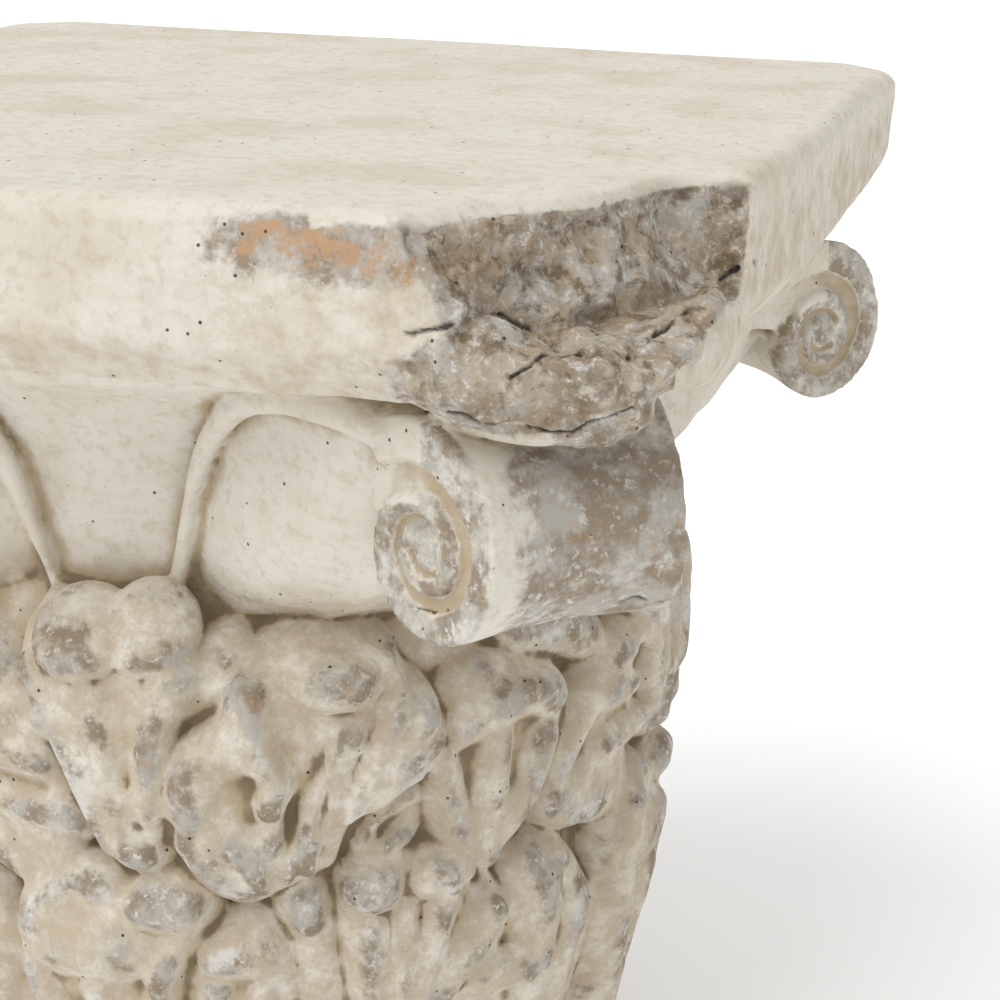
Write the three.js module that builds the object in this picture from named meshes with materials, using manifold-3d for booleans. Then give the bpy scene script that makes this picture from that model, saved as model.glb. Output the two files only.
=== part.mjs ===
// A weathered corinthian capital, cast as one piece: a square abacus with one broken corner, four corner
// volutes rolled out of stems on the bell, and three rows of acanthus leaves down to a plain neck ring.
// Millimetres, +Z up. The origin is the middle of the flat underside, and the front face looks along -Y.
import * as THREE from "three";
import { LoftGeometry } from "three/addons/geometries/LoftGeometry.js";
import { mergeVertices } from "three/addons/utils/BufferGeometryUtils.js";
import Module from "manifold-3d";

// Driving dimensions
const HEIGHT = 370;
const ABACUS_HALF = 190;
const NECK_RADIUS = 112;

// Abacus: heights are measured down from its top
const HORN_CHAMFER = 20;
const TOP_EDGE_WEAR = 5;
const FASCIA_DROP = 37;
const FASCIA_DROP_HORN = 24;
const BEVEL_DROP = 46;
const ABACUS_DROP = 50;
const ABACUS_DROP_HORN = 54;
const FASCIA_LEAN = 1;
const BEVEL_HALF = 172;
const SOFFIT_HALF = 163;
const SIDE_SAG = 4;
const SIDE_SWELL = 5;
const SWELL_SHARE = 0.35;
const SIDE_STEPS = 6;

// Broken corner: plan points of the break along the top, and how far it leans out down to its ledge
const BREAK_TOP_EDGE = [
  [108, -215],
  [124, -180],
  [136, -153],
  [155, -129],
  [166, -93],
  [187, -86],
  [215, -80],
];
const BREAK_LEDGE_DROP = 33;
const BREAK_LEAN = 12;
const BREAK_AWAY = new THREE.Vector3(0.8, -0.6, 0);
const BREAK_OVERSHOOT = 2;
const BREAK_ROUGHNESS = 3.5;
const BREAK_EDGE_ROUGHNESS = 0.3;
// Two waves roughen the break: the phase each gains with a step along the edge and with a row down
const BREAK_SINE = { along: 2.3, down: 1.7 };
const BREAK_COSINE = { along: 1.1, down: -2.6 };
const BREAK_REACH = 90;
const BREAK_LEDGE_FALL = 55;
const BREAK_STEPS = 12;
const BREAK_ROWS = 4;

// Bell profile: radius at height, from the neck ring to the lip under the abacus
const NECK_RING = 12;
const RING_WEAR = 3;
const BELL_PROFILE = [
  [103, 18],
  [108, 45],
  [117, 90],
  [121, 145],
  [120, 195],
  [119, 238],
  [124, 275],
  [137, 304],
  [154, 321],
];
const BELL_STEPS = 30;
const BELL_ROWS = 7;

// Corner volutes: place of the eye, the roll's outer radius and how far one turn shrinks it
const EYE_REACH = 207;
const EYE_HEIGHT = 277;
const ROLL_RADIUS = 32;
const TURN_SHRINK = 0.52;
const TURNS = 1.95;
const ROLL_START = -0.2;
const STEPS_PER_TURN = 9;
const RIBBON_SHARE = 0.31;
const ROLL_HALF_WIDTH = 36;
const ROLL_SPLAY = Math.tan(THREE.MathUtils.degToRad(12));
const ROLL_WAIST = 0.09;
const CORE_SHARE = 0.9;
const CHANNEL_DEPTH = 5;

// Web between the bell and a volute: height, reach along the diagonal and half-width
const WEB_LEVELS = [
  [226, 112, 20],
  [240, 146, 29],
  [256, 174, 32],
  [282, 200, 33],
  [321, 216, 37],
];
const WEB_ROOT = 60;
const WEB_SIDES = 10;

// Stems that feed the volutes: angle from the face's middle, radius and height along the path
const STEM_PATH = [
  [9, 112, 222],
  [11.5, 122, 250],
  [15, 130, 281],
  [21, 149, 306],
  [30, 178, 315],
  [36, 205, 308],
];
const STEM_RADIUS = 6.5;
const STEM_STEPS = 6;
const STEM_SIDES = 4;

// Leaf rows: count, first angle, foot and crown heights, tip radius, tip drop and half-width
const LEAF_ROWS = [
  { count: 4, first: 0, foot: 121, crown: 238, tip: 162, drop: 24, half: 35 },
  { count: 4, first: 30, foot: 115, crown: 222, tip: 158, drop: 22, half: 38 },
  { count: 4, first: 60, foot: 115, crown: 222, tip: 158, drop: 22, half: 38 },
  { count: 8, first: 0, foot: 15, crown: 142, tip: 155, drop: 24, half: 33 },
  { count: 8, first: 22.5, foot: 16, crown: 123, tip: 148, drop: 22, half: 31 },
];
const LEAF_FOOT_THICKNESS = 12;
const LEAF_CROWN_THICKNESS = 22;
const LEAF_STATIONS = 7;
const LOBE_DEPTH = 0.12;
// Body of a leaf: share of its rise, and how far it stands off the bell there
const LEAF_BODY = [
  [0.5, 9],
  [0.84, 12],
];
// Curl of a leaf: its fall at the bend, in half thicknesses, and how far the tip turns out again
const CURL_FALL = 1.4;
const TIP_TURN = 2;
// A leaf's width is a stretch of a sine arch, from its start over its span, made fuller by its power
const ARCH_START = 0.12;
const ARCH_SPAN = 0.8;
const ARCH_POWER = 0.8;
// Section of a leaf, across and outwards: two folds with the midrib sunk between them, and a hidden back
const LEAF_SECTION = [
  [-1, -0.1],
  [-0.6, 1],
  [0, 0.55],
  [0.6, 1],
  [1, -0.1],
  [0, -1],
];

const LIMEWASH = 0xd9cdb6;
const FULL_TURN = 2 * Math.PI;
const FRONT = -Math.PI / 2;
const UP = new THREE.Vector3(0, 0, 1);
const WELD = 1e-3;

const wasm = await Module();
wasm.setup();

// A closed geometry as a solid, with shared vertices merged and collapsed triangles dropped.
function solid(geometry) {
  const bare = new THREE.BufferGeometry();
  bare.setAttribute("position", geometry.getAttribute("position"));
  bare.setIndex(geometry.getIndex());
  const merged = mergeVertices(bare, WELD);
  const corners = merged.index.array;
  const triangles = [];
  for (let i = 0; i < corners.length; i += 3) {
    const [a, b, c] = [corners[i], corners[i + 1], corners[i + 2]];
    if (a !== b && b !== c && c !== a) triangles.push(a, b, c);
  }
  return new wasm.Manifold(
    new wasm.Mesh({
      numProp: 3,
      vertProperties: merged.attributes.position.array,
      triVerts: new Uint32Array(triangles),
    }),
  );
}

function loft(sections) {
  return solid(new LoftGeometry(sections, { capStart: true, capEnd: true }));
}

// Points at equal steps along a smooth curve through rows of numbers, each row read as a 3D point.
function alongSpline(rows, steps) {
  const curve = new THREE.CatmullRomCurve3(rows.map((row) => new THREE.Vector3(...row)));
  return curve.getPoints(steps);
}

// A point given by its reach along a corner's diagonal, its offset across it and its height.
function cornerPoint(diagonal, reach, across, height) {
  const c = Math.cos(diagonal);
  const s = Math.sin(diagonal);
  return new THREE.Vector3(reach * c - across * s, reach * s + across * c, height);
}

// One level of the abacus, seen from above, counterclockwise. The sides bow in a little towards the
// horns and swell out again at their middles, and the level may sit higher or lower at the horns.
function abacusLevel(half, chamfer, drop, dropAtHorn) {
  const points = [];
  for (let side = 0; side < 4; side += 1) {
    const turn = (side * Math.PI) / 2;
    for (let i = 0; i <= SIDE_STEPS; i += 1) {
      const t = (2 * i) / SIDE_STEPS - 1;
      const bow = SIDE_SWELL * Math.exp(-((t / SWELL_SHARE) ** 2)) - SIDE_SAG * (1 - t * t);
      const height = HEIGHT - THREE.MathUtils.lerp(drop, dropAtHorn, t ** 4);
      const point = new THREE.Vector3(t * (half - chamfer), -half - bow, height);
      points.push(point.applyAxisAngle(UP, turn));
    }
  }
  return points;
}

function abacus() {
  return loft([
    abacusLevel(SOFFIT_HALF, HORN_CHAMFER / 2, ABACUS_DROP, ABACUS_DROP_HORN),
    abacusLevel(BEVEL_HALF, HORN_CHAMFER / 2, BEVEL_DROP, ABACUS_DROP),
    abacusLevel(ABACUS_HALF - FASCIA_LEAN, HORN_CHAMFER, FASCIA_DROP, FASCIA_DROP_HORN),
    abacusLevel(ABACUS_HALF, HORN_CHAMFER, TOP_EDGE_WEAR, TOP_EDGE_WEAR),
    abacusLevel(ABACUS_HALF - TOP_EDGE_WEAR, HORN_CHAMFER, 0, 0),
  ]);
}

// What the broken corner has lost: a block whose inner face is rough and leans out down to a ledge.
function lostCorner() {
  const edge = alongSpline(BREAK_TOP_EDGE.map(([x, y]) => [x, y, 0]), BREAK_STEPS);
  const sections = edge.map((start, i) => {
    const points = [];
    for (let row = 0; row <= BREAK_ROWS; row += 1) {
      const down = row / BREAK_ROWS;
      const sine = Math.sin(BREAK_SINE.along * i + BREAK_SINE.down * row);
      const cosine = Math.cos(BREAK_COSINE.along * i + BREAK_COSINE.down * row);
      const rough = BREAK_ROUGHNESS * sine * cosine;
      const fade = row === 0 ? BREAK_EDGE_ROUGHNESS : 1;
      const point = start.clone().addScaledVector(BREAK_AWAY, BREAK_LEAN * down + rough * fade);
      point.z = HEIGHT + BREAK_OVERSHOOT - (BREAK_LEDGE_DROP + BREAK_OVERSHOOT + rough) * down;
      points.push(point);
    }
    const low = points[BREAK_ROWS].clone().addScaledVector(BREAK_AWAY, BREAK_REACH);
    low.z -= BREAK_LEDGE_FALL;
    const high = points[0].clone().addScaledVector(BREAK_AWAY, BREAK_REACH);
    return [high, low, ...points.reverse()];
  });
  return loft(sections);
}

// The bell is turned in one sweep from the flat underside, over the neck ring and up into the abacus.
function bell() {
  const ring = [
    [0, 0],
    [NECK_RADIUS - RING_WEAR, 0],
    [NECK_RADIUS, RING_WEAR],
    [NECK_RADIUS, NECK_RING - RING_WEAR],
    [NECK_RADIUS - RING_WEAR, NECK_RING],
  ].map(([radius, height]) => new THREE.Vector2(radius, height));
  const curve = new THREE.SplineCurve(BELL_PROFILE.map(([r, z]) => new THREE.Vector2(r, z)));
  const rise = curve.getPoints(BELL_ROWS);
  const inside = new THREE.Vector2(0, rise[BELL_ROWS].y);
  const turned = new THREE.LatheGeometry([...ring, ...rise, inside], BELL_STEPS);
  turned.rotateX(Math.PI / 2);
  return solid(turned);
}

function bellRadius(height) {
  const last = BELL_PROFILE.length - 1;
  const i = BELL_PROFILE.findIndex(([, z]) => z >= height);
  if (i <= 0) return BELL_PROFILE[i === 0 ? 0 : last][0];
  const [r0, z0] = BELL_PROFILE[i - 1];
  const [r1, z1] = BELL_PROFILE[i];
  return THREE.MathUtils.mapLinear(height, z0, z1, r0, r1);
}

function rollRadius(turn) {
  return ROLL_RADIUS * TURN_SHRINK ** turn;
}

function rollHalfWidth(reach) {
  return ROLL_HALF_WIDTH - ROLL_SPLAY * (reach - EYE_REACH);
}

// A point on the roll of a volute. The turn is counted from the top, outwards and down.
function rollPoint(diagonal, turn, radius, side, recess) {
  const reach = EYE_REACH + radius * Math.sin(turn * FULL_TURN);
  const height = EYE_HEIGHT + radius * Math.cos(turn * FULL_TURN);
  return cornerPoint(diagonal, reach, side * (rollHalfWidth(reach) - recess), height);
}

// The ribbon winds in from under the abacus to the eye. Its outer face is a little hollow.
function ribbon(diagonal) {
  const sections = [];
  const steps = Math.round((TURNS - ROLL_START) * STEPS_PER_TURN);
  for (let i = 0; i <= steps; i += 1) {
    const turn = ROLL_START + i / STEPS_PER_TURN;
    const outer = rollRadius(turn);
    const inner = outer * (1 - RIBBON_SHARE);
    sections.push([
      rollPoint(diagonal, turn, outer, 1, 0),
      rollPoint(diagonal, turn, outer * (1 - ROLL_WAIST), 0, 0),
      rollPoint(diagonal, turn, outer, -1, 0),
      rollPoint(diagonal, turn, inner, -1, 0),
      rollPoint(diagonal, turn, inner, 1, 0),
    ]);
  }
  return loft(sections);
}

// The floor of the spiral channel, on both ends of the roll.
function rollCore(diagonal) {
  const end = (side) => {
    const points = [];
    for (let i = 0; i < STEPS_PER_TURN; i += 1) {
      const turn = i / STEPS_PER_TURN;
      points.push(rollPoint(diagonal, turn, rollRadius(turn) * CORE_SHARE, side, CHANNEL_DEPTH));
    }
    return points;
  };
  return loft([end(-1), end(1)]);
}

// The casting is solid between the bell and the volute: an oval web that grows out under the abacus.
function web(diagonal) {
  const sections = WEB_LEVELS.map(([height, reach, half]) => {
    const points = [];
    for (let i = 0; i < WEB_SIDES; i += 1) {
      const angle = (i / WEB_SIDES) * FULL_TURN;
      const along = (WEB_ROOT + reach) / 2 + ((reach - WEB_ROOT) / 2) * Math.cos(angle);
      points.push(cornerPoint(diagonal, along, half * Math.sin(angle), height));
    }
    return points;
  });
  return loft(sections);
}

// A stem is a rounded rib that climbs the bell and leans over to the corner. The hand is 1 or -1.
function stem(face, hand) {
  const path = alongSpline(
    STEM_PATH.map(([degrees, radius, height]) => {
      const angle = face + hand * THREE.MathUtils.degToRad(degrees);
      return [radius * Math.cos(angle), radius * Math.sin(angle), height];
    }),
    STEM_STEPS,
  );
  const sections = path.map((centre, i) => {
    const before = path[Math.max(i - 1, 0)];
    const after = path[Math.min(i + 1, STEM_STEPS)];
    const forward = after.clone().sub(before).normalize();
    const outward = new THREE.Vector3(centre.x, centre.y, 0).normalize();
    const sideways = forward.clone().cross(outward).normalize();
    const lift = sideways.clone().cross(forward);
    const points = [];
    for (let k = 0; k < STEM_SIDES; k += 1) {
      const angle = (k / STEM_SIDES) * FULL_TURN;
      const point = centre.clone().addScaledVector(lift, STEM_RADIUS * Math.cos(angle));
      points.push(point.addScaledVector(sideways, STEM_RADIUS * Math.sin(angle)));
    }
    return points;
  });
  return loft(sections);
}

// The leaf's spine, as radius and height: up the bell, out at the shoulder, over the crown, down to the tip.
function leafSpine({ foot, crown, tip, drop }) {
  const fold = LEAF_CROWN_THICKNESS / 2;
  const body = LEAF_BODY.map(([share, standOff]) => {
    const height = THREE.MathUtils.lerp(foot, crown, share);
    return new THREE.Vector2(bellRadius(height) + standOff, height);
  });
  return new THREE.SplineCurve([
    new THREE.Vector2(bellRadius(foot), foot),
    ...body,
    new THREE.Vector2(tip - 2 * fold, crown - fold),
    new THREE.Vector2(tip - fold, crown - CURL_FALL * fold),
    new THREE.Vector2(tip - fold + TIP_TURN, crown - drop),
  ]);
}

// A leaf is a thick, lobed tongue with a groove along its midrib, wrapped to the bell and curled over.
function leaf(row, angle) {
  const spine = leafSpine(row);
  const sections = [];
  for (let i = 0; i <= LEAF_STATIONS; i += 1) {
    const v = i / LEAF_STATIONS;
    const centre = spine.getPoint(v);
    const tangent = spine.getTangent(v);
    const arch = Math.sin(Math.PI * (ARCH_START + ARCH_SPAN * v)) ** ARCH_POWER;
    const lobe = 1 + LOBE_DEPTH * Math.cos(i * Math.PI);
    const half = row.half * arch * lobe;
    const thick = THREE.MathUtils.lerp(LEAF_FOOT_THICKNESS, LEAF_CROWN_THICKNESS, v * v) / 2;
    const points = LEAF_SECTION.map(([sideways, forwards]) => {
      const across = half * sideways;
      const out = thick * forwards;
      const wrap = (across * across) / (2 * centre.x);
      const point = new THREE.Vector3(centre.x + tangent.y * out - wrap, across, centre.y - tangent.x * out);
      return point.applyAxisAngle(UP, angle);
    });
    sections.push(points);
  }
  return loft(sections);
}

// Everything is one casting: the forms are joined into one body. A pocket that is closed in between them
// is filled, by keeping only the outer shell.
function casting() {
  const forms = [bell()];
  for (let quarter = 0; quarter < 4; quarter += 1) {
    const face = FRONT + (quarter * Math.PI) / 2;
    const diagonal = face + Math.PI / 4;
    forms.push(web(diagonal), rollCore(diagonal), ribbon(diagonal), stem(face, 1), stem(face, -1));
  }
  for (const row of LEAF_ROWS) {
    for (let i = 0; i < row.count; i += 1) {
      const degrees = row.first + (i * 360) / row.count;
      forms.push(leaf(row, FRONT + THREE.MathUtils.degToRad(degrees)));
    }
  }
  const whole = forms.reduce((joined, form) => joined.add(form), abacus().subtract(lostCorner()));
  const shells = whole.decompose().sort((a, b) => b.volume() - a.volume());
  const mesh = shells[0].getMesh();
  const geometry = new THREE.BufferGeometry();
  geometry.setAttribute("position", new THREE.BufferAttribute(mesh.vertProperties, mesh.numProp));
  geometry.setIndex(new THREE.BufferAttribute(mesh.triVerts, 1));
  geometry.computeVertexNormals();
  return geometry;
}

const stone = new THREE.MeshStandardMaterial({ color: LIMEWASH, roughness: 0.9, metalness: 0 });
const capital = new THREE.Mesh(casting(), stone);
capital.name = "capital";

const part = new THREE.Group();
part.add(capital);

export default part;
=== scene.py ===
# %% [markdown]
# # A weathered corinthian capital
# The real object is one casting: a square abacus, four corner volutes, a bell and three rows of acanthus
# leaves, limewashed over a tan body and worn with age. This lesson builds its visible skin in clay
# fashion. Simple primitives are shaped one by one, pressed together, fused, carved, thinned and at last
# painted.

# %% Load the frame
import math
from itertools import product

import bpy
import numpy as np
from mathutils import Matrix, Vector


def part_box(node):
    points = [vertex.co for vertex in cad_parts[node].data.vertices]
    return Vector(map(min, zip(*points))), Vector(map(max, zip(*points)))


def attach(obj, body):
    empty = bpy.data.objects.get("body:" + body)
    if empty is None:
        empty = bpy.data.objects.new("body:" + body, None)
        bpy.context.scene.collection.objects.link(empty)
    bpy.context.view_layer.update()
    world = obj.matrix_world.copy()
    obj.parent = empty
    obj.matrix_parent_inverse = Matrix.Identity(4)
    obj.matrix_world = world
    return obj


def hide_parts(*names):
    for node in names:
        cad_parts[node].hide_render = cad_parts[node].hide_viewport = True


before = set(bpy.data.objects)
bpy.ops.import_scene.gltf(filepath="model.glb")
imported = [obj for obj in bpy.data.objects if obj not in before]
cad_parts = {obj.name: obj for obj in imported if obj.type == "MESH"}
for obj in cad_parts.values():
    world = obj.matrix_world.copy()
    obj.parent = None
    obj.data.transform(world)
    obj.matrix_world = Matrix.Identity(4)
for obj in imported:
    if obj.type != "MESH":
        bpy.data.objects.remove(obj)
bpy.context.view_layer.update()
MM = 0.001
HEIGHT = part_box("capital")[1][2] / MM
print("capital is", round(HEIGHT), "mm high")

# %% [markdown]
# ## Camera
# The photograph was taken from in front and a little to the right, from above, with a long lens. The
# place and angles were worked out from the edges of the abacus, so the camera is typed in as plain
# numbers: where it stands, how far it turns, tips down and rolls, and the length of its lens on a 36 mm
# sensor.

# %% Camera
CAMERA_PLACE = (0.3100, -0.7126, 0.4748)
CAMERA_TURN = math.radians(17.40)
CAMERA_TIP = math.radians(17.69)
CAMERA_ROLL = math.radians(1.06)
CAMERA_LENS = 81.9


def add_camera():
    data = bpy.data.cameras.new("photo_camera")
    data.lens = CAMERA_LENS
    data.sensor_width = 36.0
    camera = bpy.data.objects.new("photo_camera", data)
    bpy.context.scene.collection.objects.link(camera)
    turn = Matrix.Rotation(CAMERA_TURN, 4, "Z")
    tip = Matrix.Rotation(math.pi / 2 - CAMERA_TIP, 4, "X")
    roll = Matrix.Rotation(CAMERA_ROLL, 4, "Z")
    camera.matrix_world = Matrix.Translation(CAMERA_PLACE) @ turn @ tip @ roll
    bpy.context.scene.camera = camera
    print("camera lens", data.lens, "mm at", CAMERA_PLACE)


add_camera()

# %% [markdown]
# ## A sculptor's helpers
# An operator acts on whatever is selected, so `only` clears the selection first. `points_of` and
# `move_points` read and write a mesh's points in millimetres, all at once, which is how one moves
# thousands of points without a mouse. `block` and `ball` add a cube or a sphere and cut it finely, ready
# to be pushed into shape. `apply_modifier` adds a modifier, sets it up and applies it. `spline` draws
# smooth curves, and `noise` gives random lumps that are the same in every run.

# %% Helpers
clay = []
HASH_STEPS = (73856093, 19349663, 83492791)
HASH_SEED = 9176131
HASH_STIR = 1274126177
NOISE_SHIFT = 1000.0


def only(piece):
    bpy.ops.object.select_all(action="DESELECT")
    piece.select_set(True)
    bpy.context.view_layer.objects.active = piece


def points_of(piece):
    flat = np.empty(3 * len(piece.data.vertices), dtype=np.float32)
    piece.data.vertices.foreach_get("co", flat)
    return flat.reshape(-1, 3).astype(float) / MM


def move_points(piece, points):
    piece.data.vertices.foreach_set("co", (points * MM).astype(np.float32).ravel())
    piece.data.update()


def block(name, cuts):
    bpy.ops.object.select_all(action="DESELECT")
    bpy.ops.mesh.primitive_cube_add(size=2 * MM)
    piece = bpy.context.object
    piece.name = name
    bpy.ops.object.mode_set(mode="EDIT")
    bpy.ops.mesh.select_all(action="SELECT")
    bpy.ops.mesh.subdivide(number_cuts=cuts)
    bpy.ops.object.mode_set(mode="OBJECT")
    return piece


def ball(name, sides=28, rings=22):
    bpy.ops.object.select_all(action="DESELECT")
    bpy.ops.mesh.primitive_uv_sphere_add(segments=sides, ring_count=rings, radius=MM)
    piece = bpy.context.object
    piece.name = name
    return piece


def copy_of(piece, name):
    twin = piece.copy()
    twin.data = piece.data.copy()
    twin.name = name
    bpy.context.scene.collection.objects.link(twin)
    return twin


def apply_modifier(piece, kind, **settings):
    only(piece)
    modifier = piece.modifiers.new(kind.lower(), kind)
    for name, value in settings.items():
        setattr(modifier, name, value)
    bpy.ops.object.modifier_apply(modifier=modifier.name)


def smooth_step(low, high, value):
    t = np.clip((value - low) / (high - low), 0, 1)
    return t * t * (3 - 2 * t)


def spline(rows, at):
    """Points of a smooth curve through rows of numbers, at places from 0 to 1 along it."""
    rows = np.asarray(rows, dtype=float)
    padded = np.vstack([2 * rows[0] - rows[1], rows, 2 * rows[-1] - rows[-2]])
    place = np.clip(np.asarray(at), 0, 1) * (len(rows) - 1)
    i = np.minimum(place.astype(int), len(rows) - 2)
    t = (place - i)[:, None]
    a, b, c, d = (padded[i + k] for k in range(4))
    return 0.5 * (2 * b + (c - a) * t + (2 * a - 5 * b + 4 * c - d) * t**2 + (3 * b - a - 3 * c + d) * t**3)


def noise(points, size, seed):
    """Smooth noise from -1 to 1 whose lumps are about one size across."""
    scaled = points / size + NOISE_SHIFT
    cell = np.floor(scaled).astype(np.uint32)
    part = scaled - cell
    part = part * part * (3 - 2 * part)
    total = np.zeros(len(points))
    for corner in product((0, 1), repeat=3):
        c = cell + np.array(corner, dtype=np.uint32)
        by_x, by_y, by_z = (c[:, axis] * HASH_STEPS[axis] for axis in range(3))
        mix = by_x ^ by_y ^ by_z ^ np.uint32(seed * HASH_SEED)
        mix = (mix ^ (mix >> 13)) * np.uint32(HASH_STIR)
        value = ((mix ^ (mix >> 16)) & 65535) / 32767.5 - 1
        weight = np.prod(np.where(corner, part, 1 - part), axis=1)
        total += value * weight
    return total


def layered(points, layers):
    """Noise in layers, each given by its rise in millimetres, its size and its seed."""
    return sum(rise * noise(points, size, seed) for rise, size, seed in layers)


print("helpers ready")

# %% [markdown]
# ## Bell
# The bell is the turned core of the capital. By hand it is a circle that is extruded upwards ring by ring
# and scaled at each step, so the same profile could be spun on a wheel. The flat foot is a plain neck
# ring.

# %% Bell
NECK_RING = [(109, 0), (112, 3), (112, 9), (109, 12)]
BELL_PROFILE = [
    (103, 18), (108, 45), (117, 90), (121, 145), (120, 195), (119, 238), (124, 275), (137, 297), (156, 310)
]
BELL_LIP = [(167, 313), (174, 313), (178, 315), (178, 319), (170, 324)]
BELL_STEPS = 40
ROUND_SIDES = 128
FRONT = -math.pi / 2


def turned(name, rings):
    bpy.ops.object.select_all(action="DESELECT")
    bpy.ops.mesh.primitive_circle_add(vertices=ROUND_SIDES, radius=rings[0][0] * MM, fill_type="NGON")
    piece = bpy.context.object
    piece.name = name
    bpy.ops.object.mode_set(mode="EDIT")
    bpy.ops.mesh.select_all(action="SELECT")
    bpy.ops.transform.translate(value=(0, 0, rings[0][1] * MM))
    for (radius, height), (next_radius, next_height) in zip(rings, rings[1:]):
        lift = (0, 0, (next_height - height) * MM)
        bpy.ops.mesh.extrude_region_move(TRANSFORM_OT_translate={"value": lift})
        grow = next_radius / radius
        bpy.ops.transform.resize(value=(grow, grow, 1), center_override=(0, 0, 0))
    bpy.ops.mesh.select_all(action="SELECT")
    bpy.ops.mesh.normals_make_consistent(inside=False)
    bpy.ops.object.mode_set(mode="OBJECT")
    clay.append(piece)
    print(name, len(piece.data.vertices), "points")


def smooth_rings(rows):
    return [tuple(row) for row in spline(rows, np.linspace(0, 1, BELL_STEPS))]


turned("bell", NECK_RING + smooth_rings(BELL_PROFILE) + BELL_LIP)

# %% [markdown]
# ## Abacus
# The abacus is the square slab on top. It starts as a cube cut into a fine lattice, and its points are
# pushed out to the moulding: a flat fascia, a bevel under it and a soffit. The corners are cut off and
# the fascia tapers towards them, so each corner ends in a small horn.

# %% Abacus
ABACUS_HALF = 190
HORN_CHAMFER = 20
ABACUS_PROFILE = [(0, 185), (1.5, 188), (5, 190), (39, 189.5), (41, 188), (52, 179), (55, 163)]
HORN_DROPS = [0, 1.5, 5, 24, 29, 47, 55]
HORN_POWER = 4
CHAMFER_LEVELS = [0, 3, 6]
CHAMFERS = [HORN_CHAMFER, HORN_CHAMFER, HORN_CHAMFER / 2]
SIDE_SAG = 4
SIDE_SWELL = 5
SWELL_SHARE = 0.35
EDGE_POWER = 6
ABACUS_CUTS = 47


def side_bow(along):
    """How far a side stands out, from -1 to 1 along it: a boss in the middle of a slight sag."""
    return SIDE_SWELL * np.exp(-((along / SWELL_SHARE) ** 2)) - SIDE_SAG * (1 - along * along)


def carve_abacus():
    slab = block("abacus", ABACUS_CUTS)
    u, v, w = points_of(slab).T
    drops, halves = np.array(ABACUS_PROFILE).T
    levels = np.arange(len(drops))
    level = np.interp((1 - w) / 2, np.linspace(0, 1, len(drops)), levels)
    half = np.interp(level, levels, halves)
    reach = np.maximum(np.abs(u), np.abs(v))
    horn = np.minimum(np.abs(u), np.abs(v)) ** HORN_POWER / np.maximum(reach, 1e-6) ** HORN_POWER
    drop = np.interp(level, levels, drops)
    drop_at_horn = np.interp(level, levels, HORN_DROPS)
    x = u * half + np.sign(u) * side_bow(v) * np.abs(u) ** EDGE_POWER
    y = v * half + np.sign(v) * side_bow(u) * np.abs(v) ** EDGE_POWER
    chamfer = np.interp(level, CHAMFER_LEVELS, CHAMFERS)
    over = np.maximum(np.abs(x) + np.abs(y) - (2 * half - chamfer), 0) / 2
    x -= np.sign(x) * over
    y -= np.sign(y) * over
    z = HEIGHT - (drop + (drop_at_horn - drop) * horn)
    move_points(slab, np.stack([x, y, z], axis=1))
    return slab


abacus = carve_abacus()
print("abacus", len(abacus.data.vertices), "points")

# %% [markdown]
# ## Broken corner
# One corner of the slab has snapped off. The lost piece is made as a block with a rough inner face, and a
# Boolean modifier takes it away, as a blow would. Below the break a few rounded lumps of the horn are
# left.

# %% Broken corner
BREAK_TOP_EDGE = [(103, -215), (118, -182), (132, -154), (154, -129), (166, -93), (187, -86), (215, -80)]
BREAK_LEDGE_DROP = 33
BREAK_LEDGE_FALL = 9
BREAK_TIP_FALL = 70
BREAK_LEAN = 12
BREAK_REACH = 90
BREAK_AWAY = np.array([0.8, -0.6, 0.0])
BREAK_ABOVE = 3
BREAK_DROP_OFF = (0.3, 0.7)
BREAK_ROUGHNESS = [(3.5, 17, 3), (1.5, 7, 4)]
LOST_CUTS = 39
LUMPS = [
    ((139, -176, 329), (25, 13, 13)),
    ((162, -161, 325), (17, 17, 14)),
    ((180, -118, 329), (9, 34, 12)),
    ((146, -158, 316), (30, 20, 8)),
]


def break_face(along, down):
    """A point of the break, from 0 to 1 along its edge and from 0 to 1 down to the ledge."""
    face = spline([(x, y, 0) for x, y in BREAK_TOP_EDGE], along)
    face += BREAK_AWAY * (BREAK_LEAN * down)[:, None]
    return face


def break_corner(slab):
    lost = block("lost_corner", LOST_CUTS)
    u, v, w = points_of(lost).T
    along, out, down = (u + 1) / 2, (v + 1) / 2, (1 - w) / 2
    face = break_face(along, down)
    face[:, 2] = HEIGHT + BREAK_ABOVE - (BREAK_LEDGE_DROP + BREAK_ABOVE) * down
    rough = layered(face, BREAK_ROUGHNESS)
    face += BREAK_AWAY * (rough + BREAK_REACH * out)[:, None]
    face[:, 2] -= (BREAK_LEDGE_FALL * out + BREAK_TIP_FALL * smooth_step(*BREAK_DROP_OFF, out)) * down
    move_points(lost, face)
    only(lost)
    bpy.ops.object.mode_set(mode="EDIT")
    bpy.ops.mesh.select_all(action="SELECT")
    bpy.ops.mesh.normals_make_consistent(inside=False)
    bpy.ops.object.mode_set(mode="OBJECT")
    apply_modifier(slab, "BOOLEAN", operation="DIFFERENCE", object=lost)
    bpy.data.objects.remove(lost)
    clay.append(slab)


def add_lumps():
    for place, size in LUMPS:
        lump = ball("lump")
        move_points(lump, points_of(lump) * size + np.array(place))
        clay.append(lump)


break_corner(abacus)
add_lumps()
print("abacus after the break", len(abacus.data.vertices), "points")

# %% [markdown]
# ## Volutes
# Each corner carries a ribbon of clay rolled up like a scroll. A bar is wound along a shrinking spiral by
# moving its points, which a bend modifier can't do so tightly. A core fills the roll a little below the
# ribbon's edge, so a channel shows between the turns, and a web ties the roll to the bell, because a
# casting is solid there.

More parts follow.
